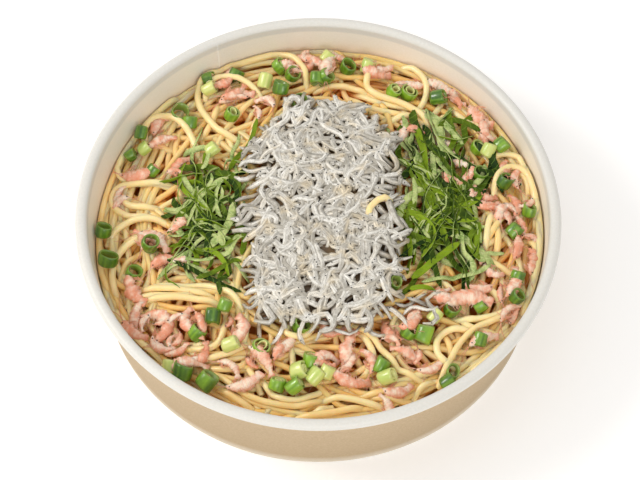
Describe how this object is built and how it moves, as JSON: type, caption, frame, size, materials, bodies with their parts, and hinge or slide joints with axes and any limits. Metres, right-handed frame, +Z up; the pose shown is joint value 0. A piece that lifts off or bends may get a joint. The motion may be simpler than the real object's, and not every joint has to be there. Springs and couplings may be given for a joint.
{
  "type": "pasta aglio e olio",
  "caption": "Round pale paper bowl of thin spaghetti, topped with a band of whitebait, shredded green leaf, small pink shrimps and chopped spring onion.",
  "frame": {"origin": "middle of the bowl's foot, on the surface it stands on", "axes": "+Z up, -Y towards the viewer of the picture, with the band of whitebait running along Y"},
  "size_m": [0.19, 0.19, 0.046],
  "materials": {
    "paper": "uncoated pale paperboard, brown outside and off-white inside and on the rolled rim",
    "pasta": "cooked pasta with a thin film of oil",
    "whitebait": "moist boiled fish",
    "leaf": "fresh leaf, matt with a slight sheen",
    "shrimp": "moist boiled shrimp",
    "spring_onion": "fresh cut onion leaf"
  },
  "bodies": {
    "root": {"bowl": "paper", "pasta": "pasta", "whitebait": "whitebait", "leaf_left": "leaf", "leaf_right": "leaf", "shrimp_01": "shrimp", "shrimp_02": "shrimp", "shrimp_03": "shrimp", "shrimp_04": "shrimp", "shrimp_05": "shrimp", "shrimp_06": "shrimp", "shrimp_07": "shrimp", "shrimp_08": "shrimp", "shrimp_09": "shrimp", "shrimp_10": "shrimp", "shrimp_11": "shrimp", "shrimp_12": "shrimp", "shrimp_13": "shrimp", "shrimp_14": "shrimp", "shrimp_15": "shrimp", "shrimp_16": "shrimp", "shrimp_17": "shrimp", "shrimp_18": "shrimp", "shrimp_19": "shrimp", "shrimp_20": "shrimp", "shrimp_21": "shrimp", "shrimp_22": "shrimp", "shrimp_23": "shrimp", "shrimp_24": "shrimp"}
  },
  "joints": []
}
